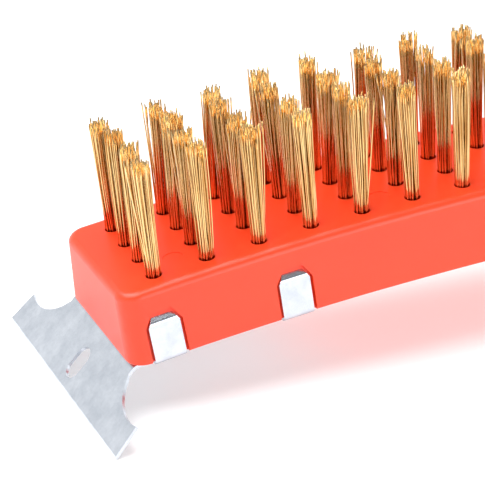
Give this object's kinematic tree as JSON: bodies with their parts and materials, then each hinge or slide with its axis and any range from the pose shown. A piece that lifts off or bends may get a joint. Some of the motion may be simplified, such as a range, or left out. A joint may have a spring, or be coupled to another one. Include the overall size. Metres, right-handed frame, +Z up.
{
  "type": "grill cleaning brush",
  "caption": "Grill brush with an arched one-piece plastic head and handle, straight rows of brass wire tufts and a bent sheet-steel scraper blade.",
  "frame": {"origin": "middle of the brush's length and width, on the surface that it lies on, with the bristles up", "axes": "+X from the scraper to the handle's end, +Z up towards the bristles, +Y across the head"},
  "size_m": [0.325, 0.082, 0.0804],
  "materials": {
    "plastic": "orange-red moulded polypropylene, satin gloss",
    "scraper_steel": "bright zinc-plated sheet steel",
    "brass_wire": "drawn brass wire, bright",
    "anchor_steel": "plain flat steel wire"
  },
  "bodies": {
    "root": {"brush_body": "plastic", "scraper": "scraper_steel", "tuft_r01_a": "brass_wire", "tuft_r01_b": "brass_wire", "tuft_r01_c": "brass_wire", "tuft_r01_d": "brass_wire", "tuft_r02_a": "brass_wire", "tuft_r02_b": "brass_wire", "tuft_r02_c": "brass_wire", "tuft_r02_d": "brass_wire", "tuft_r03_a": "brass_wire", "tuft_r03_b": "brass_wire", "tuft_r03_c": "brass_wire", "tuft_r03_d": "brass_wire", "tuft_r04_a": "brass_wire", "tuft_r04_b": "brass_wire", "tuft_r04_c": "brass_wire", "tuft_r04_d": "brass_wire", "tuft_r05_a": "brass_wire", "tuft_r05_b": "brass_wire", "tuft_r05_c": "brass_wire", "tuft_r05_d": "brass_wire", "tuft_r06_a": "brass_wire", "tuft_r06_b": "brass_wire", "tuft_r06_c": "brass_wire", "tuft_r06_d": "brass_wire", "tuft_r07_a": "brass_wire", "tuft_r07_b": "brass_wire", "tuft_r07_c": "brass_wire", "tuft_r07_d": "brass_wire", "tuft_r08_a": "brass_wire", "tuft_r08_b": "brass_wire", "tuft_r08_c": "brass_wire", "tuft_r08_d": "brass_wire", "tuft_r09_a": "brass_wire", "tuft_r09_b": "brass_wire", "tuft_r09_c": "brass_wire", "tuft_r09_d": "brass_wire", "tuft_r10_a": "brass_wire", "tuft_r10_b": "brass_wire", "tuft_r10_c": "brass_wire", "tuft_r10_d": "brass_wire", "anchors_r01": "anchor_steel", "anchors_r02": "anchor_steel", "anchors_r03": "anchor_steel", "anchors_r04": "anchor_steel", "anchors_r05": "anchor_steel", "anchors_r06": "anchor_steel", "anchors_r07": "anchor_steel", "anchors_r08": "anchor_steel", "anchors_r09": "anchor_steel", "anchors_r10": "anchor_steel"}
  },
  "joints": []
}
